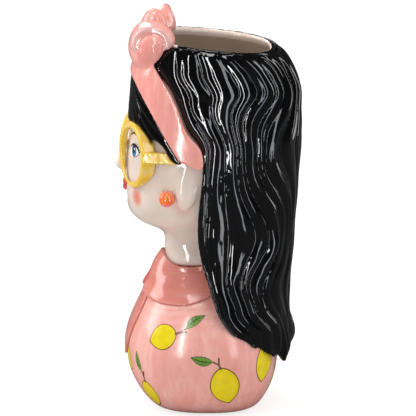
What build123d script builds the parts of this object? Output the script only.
"""Head planter: a glazed ceramic bust whose hollow head is the pot.

The frame has its origin at the middle of the foot, +Z up, the face towards -Y, and the
figure's own left side towards +X.  All sizes are millimetres.

Heights are told by levels: level 0 is the foot, 1 the neckline of the blouse and 2 the
middle of the rim.  Distances forward and back are shares of the depth of the head or bust.
"""

import math
import os
from dataclasses import dataclass, replace

from build123d import *

# Overall sizes of the bust and the head
BUST_HEIGHT = 99.0
BUST_WIDTH = 122.0
BUST_DEPTH = 104.0
HEAD_HEIGHT = 156.0
HEAD_WIDTH = 97.0
HEAD_DEPTH = 116.5
RIM_TILT_DEGREES = 6.0

# Cast walls
WALL = 4.6
FLOOR = 6.0
LIP_BEVEL = 2.4
LIP_HEIGHT = 3.2
FOOT_RING = 7.0
FOOT_RECESS = 1.5
CUT_OVERRUN = 30.0

# Hair, fringe and headband
HAIR_SIDE_RELIEF = 6.8
HAIR_BACK_RELIEF = 6.8
HAIR_FRONT_RELIEF = 3.2
HAIR_WALL = 6.0
FRINGE_SIDE_RELIEF = 4.4
FRINGE_FRONT_RELIEF = 3.0
FRINGE_PARTING_WIDTH = 19.0
FRINGE_PARTING_HEIGHT = 9.0
HEADBAND_SIDE_RELIEF = 8.2
HEADBAND_FRONT_RELIEF = 4.8
LAYER_EDGE_ROUND = 2.0
LAYER_DROP = 0.6
LOCK_DEPTH = 3.2
HAIR_TIP_DIAMETER = 14.5
HAIR_TIP_LENGTH = 37.0
HAIR_TIP_FLARE = 8.0

# Bow
KNOT_WIDTH = 19.0
KNOT_DEPTH = 20.0
KNOT_HEIGHT = 36.0
LOOP_LENGTH = 37.0
LOOP_DEPTH = 30.0
RIGHT_LOOP_DEPTH = 18.0
LOOP_HEIGHT = 29.5

# Spectacles
LENS_DIAMETER = 45.5
RIM_WIDTH = 4.2
RIM_STAND = 1.6
RIM_DEPTH = 9.0
RIM_ROUND = 1.1
LENS_WRAP_DEGREES = 22.0
BRIDGE_WIDTH = 6.0
BRIDGE_HEIGHT = 4.6
TEMPLE_ARM_HEIGHT = 7.4
TEMPLE_ARM_RELIEF = 3.0

# Nose, lips, ears and beads
NOSE_HEIGHT = 25.0
NOSE_LENGTH = 10.2
NOSE_WIDTH = 12.5
LIPS_WIDTH = 16.5
LIPS_HEIGHT = 8.8
LIPS_RELIEF = 2.4
EAR_HEIGHT = 37.0
EAR_LENGTH = 16.0
EAR_RELIEF = 3.4
EAR_BOWL_DEPTH = 1.1
EAR_LEAN_DEGREES = 8.0
BEAD_DIAMETER = 11.0

# Collar and lapels of the blouse
COLLAR_THICKNESS = 1.7
COLLAR_STAND = 7.0
COLLAR_NECK_GAP = 2.6
COLLAR_FRONT_STAND = 4.6
COLLAR_SPREAD = 11.0
LAPEL_THICKNESS = 1.8
LAPEL_WIDTH = 22.0
LAPEL_GAP = 0.6

# How the outlines are drawn
COLLAR_LOW_LEVEL = 0.6
COLLAR_WING_LEVEL = 0.85
SECTION_POINTS = 20
SQUARENESS_SHARE = 2.45
WIDEST_SHARE = 0.52

# Level, front, back (shares of the bust's depth) and width (share of its half width)
BUST_SHARES = (
    (0.000, 0.342, 0.332, 0.640),
    (0.025, 0.378, 0.364, 0.720),
    (0.065, 0.414, 0.390, 0.790),
    (0.130, 0.458, 0.422, 0.872),
    (0.230, 0.506, 0.454, 0.950),
    (0.340, 0.530, 0.470, 0.993),
    (0.445, 0.531, 0.470, 1.000),
    (0.555, 0.508, 0.452, 0.962),
    (0.665, 0.466, 0.418, 0.872),
    (0.775, 0.416, 0.366, 0.728),
    (0.875, 0.368, 0.298, 0.548),
    (0.945, 0.332, 0.232, 0.416),
    (1.000, 0.310, 0.183, 0.346),
)

# Level, front, back (shares of the head's depth), width (share of its half width) and
# how far the slice leans with the rim
HEAD_SHARES = (
    (1.000, 0.256, 0.120, 0.380, 0.00),
    (1.070, 0.250, 0.120, 0.368, 0.00),
    (1.128, 0.256, 0.140, 0.384, 0.00),
    (1.160, 0.300, 0.200, 0.475, 0.00),
    (1.189, 0.385, 0.285, 0.600, 0.00),
    (1.224, 0.440, 0.360, 0.725, 0.00),
    (1.276, 0.468, 0.425, 0.850, 0.00),
    (1.340, 0.477, 0.470, 0.930, 0.00),
    (1.423, 0.478, 0.495, 0.980, 0.00),
    (1.532, 0.468, 0.505, 1.000, 0.00),
    (1.647, 0.448, 0.510, 0.990, 0.00),
    (1.750, 0.430, 0.505, 0.970, 0.10),
    (1.840, 0.416, 0.490, 0.945, 0.30),
    (1.910, 0.385, 0.460, 0.915, 0.60),
    (1.962, 0.345, 0.425, 0.885, 0.85),
    (2.000, 0.305, 0.395, 0.855, 1.00),
)

# The hair on the back of the bust: level, back (share of the bust's depth) and width
# (share of the bust's half width)
HAIR_ON_BUST_SHARES = (
    (0.260, 0.500, 0.80),
    (0.380, 0.540, 0.90),
    (0.480, 0.551, 0.955),
    (0.600, 0.556, 0.95),
    (0.740, 0.556, 0.935),
)

# The hair behind the neck: level, back (share of the head's depth) and width (share of
# the head's half width)
HAIR_ON_NECK_SHARES = (
    (0.880, 0.500, 1.14),
    (1.060, 0.520, 1.09),
    (1.200, 0.532, 1.09),
    (1.320, 0.545, 1.10),
)
HAIR_REACH_SHARE = 0.48

# Locks of hair: the angles from the back at which the valleys between them start at the
# rim, on either side, and the height of a lock across its width as shares of its depth
LEFT_LOCK_DEGREES = (0, 17, 30, 49, 60, 78, 89, 106, 122)
RIGHT_LOCK_DEGREES = (0, 11, 28, 39, 57, 69, 87, 104, 122)
FRONT_LOCK_DEGREES = (140, 158, 180)
LOCK_RELIEF_SHARES = (-0.85, 0.02, 0.15, 0.02)

# How far a strand has turned to the back on its way down, as (level, degrees): deep in the
# hair, where it waves, and along the front edge
WAVE_DEGREES = ((0.26, 30), (0.525, 24), (0.818, 4), (1.154, 16), (1.564, -8), (1.846, 14), (2.1, -8))
EDGE_DEGREES = (
    (0.26, 68),
    (0.545, 51),
    (0.758, 38),
    (1.000, 30),
    (1.200, 25),
    (1.558, 27),
    (1.790, 11),
    (1.904, 0),
    (2.100, -10),
)
STRAND_BLEND_DEGREES = 90
LOCK_FADE_SHARES = ((0.26, 0.55), (0.8, 0.9), (1.2, 1.0), (1.9, 1.0), (2.0, 0.35), (2.1, 0.3))
HAIR_HOLLOW_LEVELS = (0.55, 1.25)

# Outlines in the side view, from front to back, as places (share of the head's depth
# behind the middle, level)
HAIR_FRONT_EDGE_SHARES = (
    (-0.325, 2.070),
    (-0.300, 1.912),
    (-0.240, 1.846),
    (-0.163, 1.734),
    (-0.106, 1.635),
    (-0.034, 1.570),
    (-0.022, 1.500),
    (-0.036, 1.380),
    (-0.056, 1.200),
    (-0.030, 1.060),
    (0.020, 0.920),
    (0.062, 0.760),
    (0.130, 0.625),
    (0.210, 0.545),
    (0.290, 0.485),
    (0.360, 0.430),
    (0.395, 0.388),
)
HEADBAND_FRONT_EDGE_SHARES = (
    (-0.530, 1.890),
    (-0.430, 1.846),
    (-0.386, 1.795),
    (-0.318, 1.712),
    (-0.240, 1.615),
    (-0.163, 1.522),
)
HEADBAND_END_SHARES = ((-0.040, 1.482), (0.040, 1.560))
FRINGE_LOWER_EDGE_SHARES = (
    (-0.520, 1.664),
    (-0.437, 1.654),
    (-0.403, 1.644),
    (-0.361, 1.620),
    (-0.318, 1.566),
)
FRINGE_LOCK_EDGE_SHARES = (
    (-0.318, 1.566),
    (-0.312, 1.600),
    (-0.266, 1.583),
    (-0.232, 1.545),
    (-0.150, 1.500),
)
COLLAR_LOWER_EDGE_SHARES = (
    (-0.500, 0.845),
    (-0.410, 0.815),
    (-0.340, 0.790),
    (-0.220, 0.782),
    (-0.100, 0.790),
    (0.020, 0.835),
    (0.130, 0.900),
)
COLLAR_UPPER_EDGE_SHARES = (
    (-0.380, 1.060),
    (-0.262, 1.046),
    (-0.200, 1.012),
    (-0.080, 1.002),
    (0.130, 1.030),
)

# Outer edge of a lapel in the front view, as places (share of its width, level)
LAPEL_EDGE_SHARES = (
    (0.50, 0.900),
    (0.82, 0.800),
    (1.00, 0.640),
    (0.96, 0.500),
    (0.72, 0.400),
    (0.02, 0.345),
)

# Nose: share of its height below the brow, of its length and of its half width
NOSE_SHARES = (
    (0.00, -0.10, 0.16),
    (0.30, 0.26, 0.34),
    (0.58, 0.70, 0.62),
    (0.78, 0.98, 0.90),
    (0.90, 0.86, 1.00),
    (1.00, 0.30, 0.80),
)
NOSE_BROW_LEVEL = 1.570
NOSE_ROOT_SHARE = 0.9

# Bow loop: share of its length from the knot, and of its height and depth
LOOP_SHARES = ((0.0, 0.42), (0.14, 0.62), (0.36, 0.94), (0.60, 1.0), (0.80, 0.86), (0.93, 0.55), (1.0, 0.22))
LOOP_START_SHARE = 0.10
LOOP_SWEEP_SHARE = 0.30

# Outline of a loop seen from its end, as places (share of its depth, share of its height)
LOOP_OUTLINE_SHARES = (
    (0.00, -0.68),
    (-0.34, -0.56),
    (-0.50, -0.28),
    (-0.44, 0.22),
    (-0.20, 0.48),
    (0.08, 0.50),
    (0.36, 0.38),
    (0.50, 0.08),
    (0.30, -0.32),
)

# Places: share of the head's depth or half width, and level
KNOT_PLACE_SHARES = (-0.312, 2.020)
LEFT_LOOP_PLACE_SHARES = (-0.362, 2.010)
RIGHT_LOOP_PLACE_SHARES = (-0.272, 2.030)
LENS_LEVEL = 1.512
BRIDGE_LEVEL = 1.540
TEMPLE_ARM_LEVEL = 1.524
TEMPLE_ARM_END_SHARE = -0.168
LIPS_LEVEL = 1.350
EAR_PLACE_SHARES = (-0.112, 1.405)
BEAD_PLACE_SHARES = (-0.234, 1.342)
BEAD_SEAT_SHARE = 0.55

# Width and height of a lobe of the upper lip and of the lower lip, as shares of the lips
UPPER_LIP_SHARES = (0.66, 0.56)
LOWER_LIP_SHARES = (0.76, 0.58)

# Bowl of the ear: shares of its length and height, then its place as shares of the same
EAR_BOWL_SHARES = (0.56, 0.60, 0.06, 0.10)

# Hair tips: share of the bust's half width, of its depth, level of the top and share of
# full size
HAIR_TIP_SHARES = {
    "left": (0.36, 0.440, 0.690, 1.00),
    "middle": (-0.03, 0.485, 0.714, 0.92),
    "right": (-0.44, 0.435, 0.725, 0.96),
}
HAIR_TIP_TAPER_SHARES = (0.62, 0.80, 0.94, 1.00, 0.94, 0.70, 0.22)


@dataclass
class Section:
    """One horizontal slice: its height, its reach forward, back and to each side, its lean."""

    height: float
    front: float
    back: float
    half_width: float
    lean: float = 0.0

    def grown(self, front, back=None, side=None):
        """The same slice with its edge moved outwards."""
        back = front if back is None else back
        side = front if side is None else side
        return replace(
            self, front=self.front + front, back=self.back + back, half_width=self.half_width + side
        )

    def raised(self, rise):
        return replace(self, height=self.height + rise)

    @property
    def middle(self):
        """The y at which the slice is widest."""
        return WIDEST_SHARE * (self.front + self.back) - self.front

    def half_width_at(self, y):
        """Half the width of the slice at y."""
        reach = self.back - self.middle if y > self.middle else self.front + self.middle
        share = min(abs(y - self.middle) / reach, 1)
        return self.half_width * (1 - share**SQUARENESS_SHARE) ** (1 / SQUARENESS_SHARE)

    def front_at(self, x):
        """The y of the slice's front edge at x."""
        share = min(abs(x) / self.half_width, 1)
        depth = (1 - share**SQUARENESS_SHARE) ** (1 / SQUARENESS_SHARE)
        return self.middle - (self.front + self.middle) * depth

    def edge_at(self, angle, relief):
        """The point of the edge at an angle from the back as seen from the middle, raised."""
        across, along = math.sin(angle), math.cos(angle)
        reach = self.back - self.middle if along > 0 else self.front + self.middle
        sum_of_powers = abs(across / self.half_width) ** SQUARENESS_SHARE + abs(along / reach) ** SQUARENESS_SHARE
        distance = sum_of_powers ** (-1 / SQUARENESS_SHARE) + relief
        y = self.middle + distance * along
        return Vector(distance * across, y, self.height - self.slope * y)

    @property
    def slope(self):
        """How much the slice falls for each step back."""
        return math.tan(math.radians(RIM_TILT_DEGREES)) * self.lean

    def wire(self):
        """The slice's edge: a closed curve between an ellipse and a rounded box."""
        points = []
        for step in range(SECTION_POINTS):
            angle = math.tau * step / SECTION_POINTS
            across = math.copysign(abs(math.sin(angle)) ** (2 / SQUARENESS_SHARE), math.sin(angle))
            along = math.copysign(abs(math.cos(angle)) ** (2 / SQUARENESS_SHARE), math.cos(angle))
            reach = self.back - self.middle if along > 0 else self.front + self.middle
            y = self.middle + reach * along
            points.append(Vector(self.half_width * across, y, self.height - self.slope * y))
        return Wire([Edge.make_spline(points, periodic=True)])


def height(level):
    """The height of a level: 0 is the foot, 1 the neckline and 2 the rim."""
    if level <= 1:
        return BUST_HEIGHT * level
    return BUST_HEIGHT + HEAD_HEIGHT * (level - 1)


def bust_section(level, front, back, width):
    return Section(height(level), front * BUST_DEPTH, back * BUST_DEPTH, width * BUST_WIDTH / 2)


def head_section(level, front, back, width, lean):
    return Section(height(level), front * HEAD_DEPTH, back * HEAD_DEPTH, width * HEAD_WIDTH / 2, lean)


def at_level(table, level, make):
    """The section of a table at a level, by straight lines between its rows."""
    for low, high in zip(table, table[1:]):
        if level <= high[0]:
            share = (level - low[0]) / (high[0] - low[0])
            return make(*(a + share * (b - a) for a, b in zip(low, high)))
    return make(*table[-1])


def bust_at(level):
    return at_level(BUST_SHARES, level, bust_section)


def head_at(level):
    return at_level(HEAD_SHARES, level, head_section)


def skin(sections, ruled=False):
    """A solid through a stack of sections."""
    return Solid.make_loft([section.wire() for section in sections], ruled)


def bust_sections():
    return [bust_section(*row) for row in BUST_SHARES]


def head_sections():
    return [head_section(*row) for row in HEAD_SHARES]


def rim_section():
    return head_section(*HEAD_SHARES[-1])


def cavity():
    """The hollow of the pot: it follows the bust, the neck and the head one wall inside."""
    floor = bust_at(FLOOR / BUST_HEIGHT).grown(-WALL)
    bust = [s.grown(-WALL) for s in bust_sections() if 2 * FLOOR < s.height < height(0.9)]
    head = [s.grown(-WALL) for s in head_sections()[1:]]
    return skin([floor, *bust, *head])


def mouth_bevel():
    """The funnel that cuts the slanted lip round the mouth of the pot."""
    low = rim_section().grown(-WALL).raised(-LIP_HEIGHT)
    flare = LIP_BEVEL / LIP_HEIGHT * CUT_OVERRUN
    high = low.grown(flare).raised(CUT_OVERRUN)
    return skin([low, high], ruled=True)


def foot_recess():
    """The sunk middle of the underside, inside the foot ring."""
    inside = bust_sections()[0].grown(-FOOT_RING)
    return Solid.extrude(Face(inside.wire()), Vector(0, 0, FOOT_RECESS))


def nose(front):
    """A small plain nose on the front of the face."""
    sections = []
    for drop, length, width in NOSE_SHARES:
        tip = front + length * NOSE_LENGTH
        sections.append(
            Section(
                height(NOSE_BROW_LEVEL) - drop * NOSE_HEIGHT,
                tip,
                -front + NOSE_ROOT_SHARE * NOSE_LENGTH,
                width * NOSE_WIDTH / 2,
            )
        )
    return skin(sections[::-1])


def side_curve(shares):
    """A smooth line in the side view through places (share of the head's depth, level)."""
    return Edge.make_spline([Vector(0, share * HEAD_DEPTH, height(level)) for share, level in shares])


def side_place(share, level):
    return Vector(0, share * HEAD_DEPTH, height(level))


def far():
    """A distance that is clear of the whole planter on every side."""
    return BUST_HEIGHT + HEAD_HEIGHT + BUST_DEPTH + HEAD_DEPTH + BUST_WIDTH


def closed_outline(curves, corners):
    """An outline from curves that follow each other, then straight lines by the corners."""
    points = [curves[-1] @ 1, *corners, curves[0] @ 0]
    return Wire([*curves, *(Edge.make_line(a, b) for a, b in zip(points, points[1:]))])


def side_prism(outline):
    """A prism across the whole width, from an outline in the side view."""
    return Solid.extrude(Face(outline).moved(Location((-far(), 0, 0))), Vector(2 * far(), 0, 0))


def left_prism(outline):
    """A prism over the left half alone, from an outline in the side view."""
    return Solid.extrude(Face(outline), Vector(far(), 0, 0))


def front_prism(outline):
    """A prism forwards from the middle, from an outline in the front view."""
    return Solid.extrude(Face(outline), Vector(0, -far(), 0))


def layer(front, back, side):
    """The skull grown by a relief, with a rounded upper edge just under the rim."""
    grown = [s.grown(front, back, side) for s in head_sections() if s.height > height(1.3)]
    shoulder = grown[-1].raised(-LAYER_EDGE_ROUND)
    edge = grown[-1].grown(-LAYER_EDGE_ROUND).raised(-LAYER_DROP)
    return [*grown[:-1], shoulder, edge]


def hair_sections():
    """The outside of the hair, from its ends on the bust up to the rim."""
    reach = HAIR_REACH_SHARE * HEAD_DEPTH
    sections = []
    for level, back, width in HAIR_ON_BUST_SHARES:
        sections.append(Section(height(level), reach, back * BUST_DEPTH, width * BUST_WIDTH / 2))
    for level, back, width in HAIR_ON_NECK_SHARES:
        sections.append(Section(height(level), reach, back * HEAD_DEPTH, width * HEAD_WIDTH / 2))
    crown = layer(HAIR_FRONT_RELIEF, HAIR_BACK_RELIEF, HAIR_SIDE_RELIEF)
    return [*sections, *(s for s in crown if s.height > height(1.4))]


def level_of(z):
    """The level of a height."""
    return z / BUST_HEIGHT if z <= BUST_HEIGHT else 1 + (z - BUST_HEIGHT) / HEAD_HEIGHT


def eased(share):
    """A share from 0 to 1 that starts and ends softly."""
    return (1 - math.cos(math.pi * share)) / 2


def value_at(table, level):
    """The value of a table of (level, value) rows at a level, with soft turns."""
    for low, high in zip(table, table[1:]):
        if level <= high[0]:
            share = eased(max(level - low[0], 0) / (high[0] - low[0]))
            return low[1] + share * (high[1] - low[1])
    return table[-1][1]


def strand_turn(degrees, level):
    """How far the strand that starts at an angle from the back has turned back at a level."""
    last, front = LEFT_LOCK_DEGREES[-1], FRONT_LOCK_DEGREES[-1]
    edge = value_at(EDGE_DEGREES, level)
    if degrees > last:
        return edge * (front - degrees) / (front - last)
    deep = eased(min((last - degrees) / STRAND_BLEND_DEGREES, 1))
    wave = value_at(WAVE_DEGREES, level) * math.sin(math.radians(degrees))
    return deep * wave + (1 - deep) * edge


def lock_places(valleys):
    """(angle, relief) across the locks between a row of valleys, up to the last valley."""
    places = []
    for start, end in zip(valleys, valleys[1:]):
        for step, relief in enumerate(LOCK_RELIEF_SHARES):
            places.append((start + (end - start) * step / len(LOCK_RELIEF_SHARES), relief))
    return places


def strands():
    """(angle from the back, relief) of every strand round the head, from the back by the left."""
    front = [(degrees, 0) for degrees in FRONT_LOCK_DEGREES]
    left = lock_places(LEFT_LOCK_DEGREES) + [(LEFT_LOCK_DEGREES[-1], 0)] + front
    right = lock_places(RIGHT_LOCK_DEGREES)[1:] + [(RIGHT_LOCK_DEGREES[-1], 0)] + front[:-1]
    return left + [(-degrees, relief) for degrees, relief in reversed(right)]


def hair_wire(section):
    """The slice's edge with its locks, each strand turned as far as it has waved there."""
    level = level_of(section.height)
    depth = LOCK_DEPTH * value_at(LOCK_FADE_SHARES, level)
    points = []
    for degrees, relief in strands():
        angle = math.copysign(abs(degrees) - strand_turn(abs(degrees), level), degrees)
        points.append(section.edge_at(math.radians(angle), relief * depth))
    return Wire([Edge.make_spline(points, periodic=True)])


def hair_region():
    """Everything behind the front edge of the hair, in the side view."""
    curve = side_curve(HAIR_FRONT_EDGE_SHARES)
    low, high = curve @ 1, curve @ 0
    corners = [Vector(0, far(), low.Z), Vector(0, far(), far()), Vector(0, high.Y, far())]
    return side_prism(closed_outline([curve], corners))


def hair_hollow(region):
    """The space inside the hair behind the neck, one wall in from its back, sides and front."""
    low, high = HAIR_HOLLOW_LEVELS
    inner = [s.grown(-HAIR_WALL) for s in hair_sections() if height(low) < s.height < height(high)]
    return skin(inner) & region.moved(Location((0, HAIR_WALL, 0)))


def headband_region():
    """Everything behind the front edge of the headband, down to its lower end."""
    curve = side_curve(HEADBAND_FRONT_EDGE_SHARES)
    ends = [side_place(*place) for place in HEADBAND_END_SHARES]
    corners = [*ends, Vector(0, ends[-1].Y, far()), Vector(0, (curve @ 0).Y, far())]
    return side_prism(closed_outline([curve], corners))


def fringe_region():
    """The left half above the lower edge of the fringe, with a pointed lock at the temple."""
    curves = [side_curve(FRINGE_LOWER_EDGE_SHARES), side_curve(FRINGE_LOCK_EDGE_SHARES)]
    back, front = curves[-1] @ 1, curves[0] @ 0
    corners = [Vector(0, back.Y, far()), Vector(0, front.Y, far())]
    return left_prism(closed_outline(curves, corners))


def parting():
    """The notch that opens the fringe over the middle of the forehead."""
    low = height(FRINGE_LOWER_EDGE_SHARES[0][1])
    width, sink = FRINGE_PARTING_WIDTH, FRINGE_PARTING_HEIGHT
    corners = [Vector(-width, 0, low - sink), Vector(width, 0, low - sink), Vector(0, 0, low + sink)]
    return front_prism(Wire.make_polygon(corners))


def mirrored(piece):
    """The same piece on the figure's right side."""
    return mirror(piece, about=Plane.YZ)


def both_sides(pieces):
    """Pieces made for the left side, with their mirror images for the right."""
    both = {f"{name}_left": piece for name, piece in pieces.items()}
    both.update({f"{name}_right": mirrored(piece) for name, piece in pieces.items()})
    return both


def ellipsoid(width, depth, tall):
    return scale(Solid.make_sphere(0.5), by=(width, depth, tall))


def hair_tip(share, depth, level, size):
    """The round end of one lock, hanging down the back and swinging a little outwards."""
    top = Vector(share * BUST_WIDTH / 2, depth * BUST_DEPTH, height(level))
    last = len(HAIR_TIP_TAPER_SHARES) - 1
    wires = []
    for step, taper in enumerate(HAIR_TIP_TAPER_SHARES):
        down = step / last
        swing = HAIR_TIP_FLARE * math.sin(down * math.pi / 2)
        plane = Plane(top + Vector(0, swing, -down * HAIR_TIP_LENGTH) * size)
        wires.append(Wire([Edge.make_circle(taper * size * HAIR_TIP_DIAMETER / 2, plane)]))
    return Solid.make_loft(wires)


def bow_knot():
    y, level = KNOT_PLACE_SHARES
    knot = ellipsoid(KNOT_WIDTH, KNOT_DEPTH, KNOT_HEIGHT)
    return knot.moved(Location(side_place(y, level)))


def bow_loop(start, depth):
    """A loop to the left of start: thin at the knot, full in the middle, rounded at the end."""
    wires = []
    for share, full in LOOP_SHARES:
        across = LOOP_LENGTH * (LOOP_START_SHARE + share)
        back = LOOP_SWEEP_SHARE * depth * share
        middle = start + Vector(across, back, 0)
        points = [middle + Vector(0, y * depth, z * LOOP_HEIGHT) * full for y, z in LOOP_OUTLINE_SHARES]
        wires.append(Wire([Edge.make_spline(points, periodic=True)]))
    return Solid.make_loft(wires)


def lens_plane():
    """The front plane of the left rim: x across it, z outwards along its axis."""
    section = head_at(LENS_LEVEL)
    wrap = math.radians(LENS_WRAP_DEGREES)
    x = BRIDGE_WIDTH / 2 + LENS_DIAMETER / 2 * math.cos(wrap)
    axis = Vector(math.sin(wrap), -math.cos(wrap), 0)
    middle = Vector(x, section.front_at(x), height(LENS_LEVEL)) + axis * RIM_STAND
    return Plane(middle, x_dir=Vector(math.cos(wrap), math.sin(wrap), 0), z_dir=axis)


def lens_post(radius, length):
    """A round post from the front plane of the left rim into the face."""
    plane = lens_plane()
    post = Solid.make_cylinder(radius, length, plane)
    return post.moved(Location(plane.z_dir * -length))


def lens_rim():
    """The left rim: its front is flat, its back runs into the face."""
    plane = lens_plane()
    ring = lens_post(LENS_DIAMETER / 2, RIM_DEPTH) - lens_post(LENS_DIAMETER / 2 - RIM_WIDTH, RIM_DEPTH)
    front = ring.edges().group_by(lambda edge: (edge.center() - plane.origin).dot(plane.z_dir))[-1]
    return ring.fillet(RIM_ROUND, front)


def bridge_bar(whole_lens):
    """The bar over the nose, from one rim to the other."""
    plane = lens_plane()
    front = (plane.origin - plane.x_dir * (LENS_DIAMETER - RIM_WIDTH) / 2).Y
    length = BRIDGE_WIDTH + RIM_WIDTH
    bar = Solid.make_box(length, RIM_DEPTH, BRIDGE_HEIGHT)
    bar = bar.moved(Location((-length / 2, front, height(BRIDGE_LEVEL) - BRIDGE_HEIGHT / 2)))
    bar = bar.fillet(RIM_ROUND, bar.edges().filter_by(Axis.X).group_by(Axis.Y)[0])
    return bar - whole_lens - mirrored(whole_lens)


def temple_arm(whole_lens):
    """The left arm of the spectacles, from the rim back along the side of the head."""
    plane = lens_plane()
    hinge = plane.origin + plane.x_dir * (LENS_DIAMETER / 2) - plane.z_dir * RIM_ROUND
    end = TEMPLE_ARM_END_SHARE * HEAD_DEPTH
    end_x = head_at(TEMPLE_ARM_LEVEL).half_width_at(end) + TEMPLE_ARM_RELIEF
    low = height(TEMPLE_ARM_LEVEL) - TEMPLE_ARM_HEIGHT / 2
    corners = [
        Vector(0, hinge.Y, low),
        Vector(hinge.X, hinge.Y, low),
        Vector(end_x, end, low),
        Vector(0, end, low),
    ]
    arm = Solid.extrude(Face(Wire.make_polygon(corners)), Vector(0, 0, TEMPLE_ARM_HEIGHT))
    return arm - whole_lens


def lips():
    """Two lobes of the upper lip and one of the lower."""
    middle = Vector(0, -head_at(LIPS_LEVEL).front, height(LIPS_LEVEL))
    width, tall = UPPER_LIP_SHARES
    lobe = ellipsoid(width * LIPS_WIDTH, 2 * LIPS_RELIEF, tall * LIPS_HEIGHT)
    aside = Vector((1 - width) / 2 * LIPS_WIDTH, 0, 0)
    above = middle + Vector(0, 0, (1 - tall) / 2 * LIPS_HEIGHT)
    width, tall = LOWER_LIP_SHARES
    lower = ellipsoid(width * LIPS_WIDTH, 2 * LIPS_RELIEF, tall * LIPS_HEIGHT)
    lower = lower.moved(Location(middle - Vector(0, 0, (1 - tall) / 2 * LIPS_HEIGHT)))
    return lobe.moved(Location(above + aside)) + lobe.moved(Location(above - aside)) + lower


def ear():
    """The long left ear with its shallow bowl, leaning back a little."""
    y, level = EAR_PLACE_SHARES[0] * HEAD_DEPTH, EAR_PLACE_SHARES[1]
    x = head_at(level).half_width_at(y)
    shell = ellipsoid(2 * EAR_RELIEF, EAR_LENGTH, EAR_HEIGHT)
    long, tall, back, up = EAR_BOWL_SHARES
    bowl = ellipsoid(2 * EAR_BOWL_DEPTH, long * EAR_LENGTH, tall * EAR_HEIGHT)
    bowl = bowl.moved(Location((EAR_RELIEF, back * EAR_LENGTH, up * EAR_HEIGHT)))
    return (shell - bowl).moved(Location((x, y, height(level)), (-EAR_LEAN_DEGREES, 0, 0)))


def earring():
    """The round bead in front of the left ear lobe."""
    y, level = BEAD_PLACE_SHARES[0] * HEAD_DEPTH, BEAD_PLACE_SHARES[1]
    x = head_at(level).half_width_at(y) + BEAD_SEAT_SHARE * BEAD_DIAMETER / 2
    return Solid.make_sphere(BEAD_DIAMETER / 2).moved(Location((x, y, height(level))))


def collar_form():
    """The bust's shoulders and the neck with the thickness of the collar laid on them."""
    on_bust = []
    for section in bust_sections():
        if section.height > height(COLLAR_LOW_LEVEL):
            front = COLLAR_FRONT_STAND if section.height > height(COLLAR_WING_LEVEL) else COLLAR_THICKNESS
            on_bust.append(section.grown(front, COLLAR_THICKNESS, COLLAR_THICKNESS))
    neck = head_at(1 + COLLAR_STAND / HEAD_HEIGHT)
    stand = neck.grown(COLLAR_THICKNESS + COLLAR_NECK_GAP / 2)
    top = neck.grown(COLLAR_THICKNESS).raised(COLLAR_STAND)
    return skin([*on_bust, stand, top])


def collar_region():
    """The side view of the collar: between its lower and its upper edge."""
    lower, upper = side_curve(COLLAR_LOWER_EDGE_SHARES), side_curve(COLLAR_UPPER_EDGE_SHARES)
    ends = [Edge.make_line(lower @ share, upper @ share) for share in (0, 1)]
    return left_prism(Wire([lower, upper, *ends]))


def collar_opening():
    """The wedge between the two points of the collar."""
    low = (side_curve(COLLAR_LOWER_EDGE_SHARES) @ 0).Z - COLLAR_STAND
    high = height(1) + COLLAR_STAND
    corners = [Vector(-COLLAR_SPREAD, 0, low), Vector(COLLAR_SPREAD, 0, low), Vector(0, 0, high)]
    return front_prism(Wire.make_polygon(corners))


def lapel_region():
    """The front view of the left lapel, from the collar down to its rounded end."""
    places = [
        Vector(max(share * LAPEL_WIDTH, LAPEL_GAP / 2), 0, height(level))
        for share, level in LAPEL_EDGE_SHARES
    ]
    inner = [Vector(LAPEL_GAP / 2, 0, place.Z) for place in (places[-1], places[0])]
    return front_prism(closed_outline([Edge.make_spline(places)], inner))


def blouse_pieces(bust_form, head_form, behind_hair_edge):
    """Collar and lapels, laid on the bust up to the edge of the hair."""
    collar = collar_form() - behind_hair_edge - bust_form - head_form
    collar = (collar & collar_region()) - collar_opening()
    lapel_form = skin([s.grown(LAPEL_THICKNESS) for s in bust_sections()])
    lapel = (lapel_form & lapel_region()) - bust_form - collar
    return both_sides({"collar": collar, "lapel": lapel})


def face_pieces(face_form, head_form, behind_hair_edge, behind_band_edge):
    """Ears, earrings, lips and spectacles, each cut to the surface that carries it."""
    whole_lens = lens_post(LENS_DIAMETER / 2, LENS_DIAMETER)
    left_ear = ear() - head_form - behind_hair_edge - behind_band_edge
    arm = temple_arm(whole_lens) - head_form - left_ear - behind_band_edge - fringe_region()
    sides = {
        "ear": left_ear,
        "earring": earring() - head_form - left_ear,
        "spectacle_rim": lens_rim() - face_form,
        "temple_arm": arm,
    }
    pieces = both_sides(sides)
    pieces["lips"] = lips() - face_form
    pieces["spectacle_bridge"] = bridge_bar(whole_lens) - face_form
    return pieces


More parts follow.
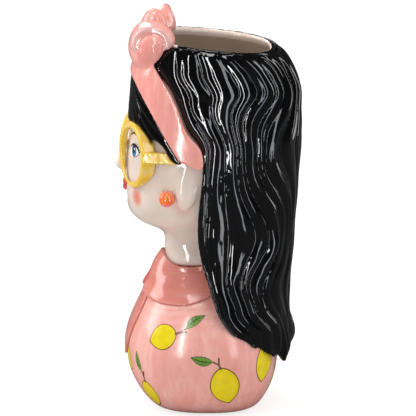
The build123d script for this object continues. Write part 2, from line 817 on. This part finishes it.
def hair_pieces(head_form, bust_form, behind_hair_edge, behind_band_edge):
    """The long hair with the round ends of three locks, the headband and the fringe."""
    locks = Solid.make_loft([hair_wire(section) for section in hair_sections()])
    block = locks & behind_hair_edge
    band_form = skin(layer(HEADBAND_FRONT_RELIEF, HAIR_BACK_RELIEF, HEADBAND_SIDE_RELIEF))
    fringe_form = skin(layer(FRINGE_FRONT_RELIEF, HAIR_BACK_RELIEF, FRINGE_SIDE_RELIEF))
    fringe = (fringe_form & fringe_region()) - behind_band_edge - behind_hair_edge - head_form
    fringe = fringe - parting() - lens_post(LENS_DIAMETER / 2, LENS_DIAMETER)
    pieces = both_sides({"fringe": fringe})
    pieces["hair_casting"] = block - head_form - bust_form - hair_hollow(behind_hair_edge)
    pieces["headband"] = (band_form & behind_band_edge) - behind_hair_edge - head_form
    for name, shares in HAIR_TIP_SHARES.items():
        pieces[f"hair_tip_{name}"] = hair_tip(*shares) - block - bust_form
    return pieces, block


def bow_pieces(head_form, headband, hair_block):
    """The knot and two loops, resting on the rim, the headband and the hair."""
    carriers = head_form + headband + hair_block
    knot = bow_knot()
    left = bow_loop(side_place(*LEFT_LOOP_PLACE_SHARES), LOOP_DEPTH)
    right = mirrored(bow_loop(side_place(*RIGHT_LOOP_PLACE_SHARES), RIGHT_LOOP_DEPTH))
    return {
        "bow_knot": knot - carriers,
        "bow_loop_left": left - knot - carriers,
        "bow_loop_right": right - knot - carriers,
    }


def build():
    """Every piece of the planter by name."""
    bust_form = skin(bust_sections())
    head_form = skin(head_sections())
    face_form = head_form + nose(head_at(NOSE_BROW_LEVEL).front)
    hollow = cavity()
    behind_hair_edge = hair_region()
    behind_band_edge = headband_region()
    pieces = {
        "bust_casting": bust_form - hollow - foot_recess(),
        "head_casting": face_form - hollow - mouth_bevel(),
    }
    hair, hair_block = hair_pieces(head_form, bust_form, behind_hair_edge, behind_band_edge)
    pieces.update(hair)
    pieces.update(bow_pieces(head_form, hair["headband"], hair_block))
    pieces.update(face_pieces(face_form, head_form, behind_hair_edge, behind_band_edge))
    pieces.update(blouse_pieces(bust_form, head_form, behind_hair_edge))
    return pieces


def main():
    os.makedirs("parts", exist_ok=True)
    for name, piece in build().items():
        export_step(piece, f"parts/{name}.step")


main()
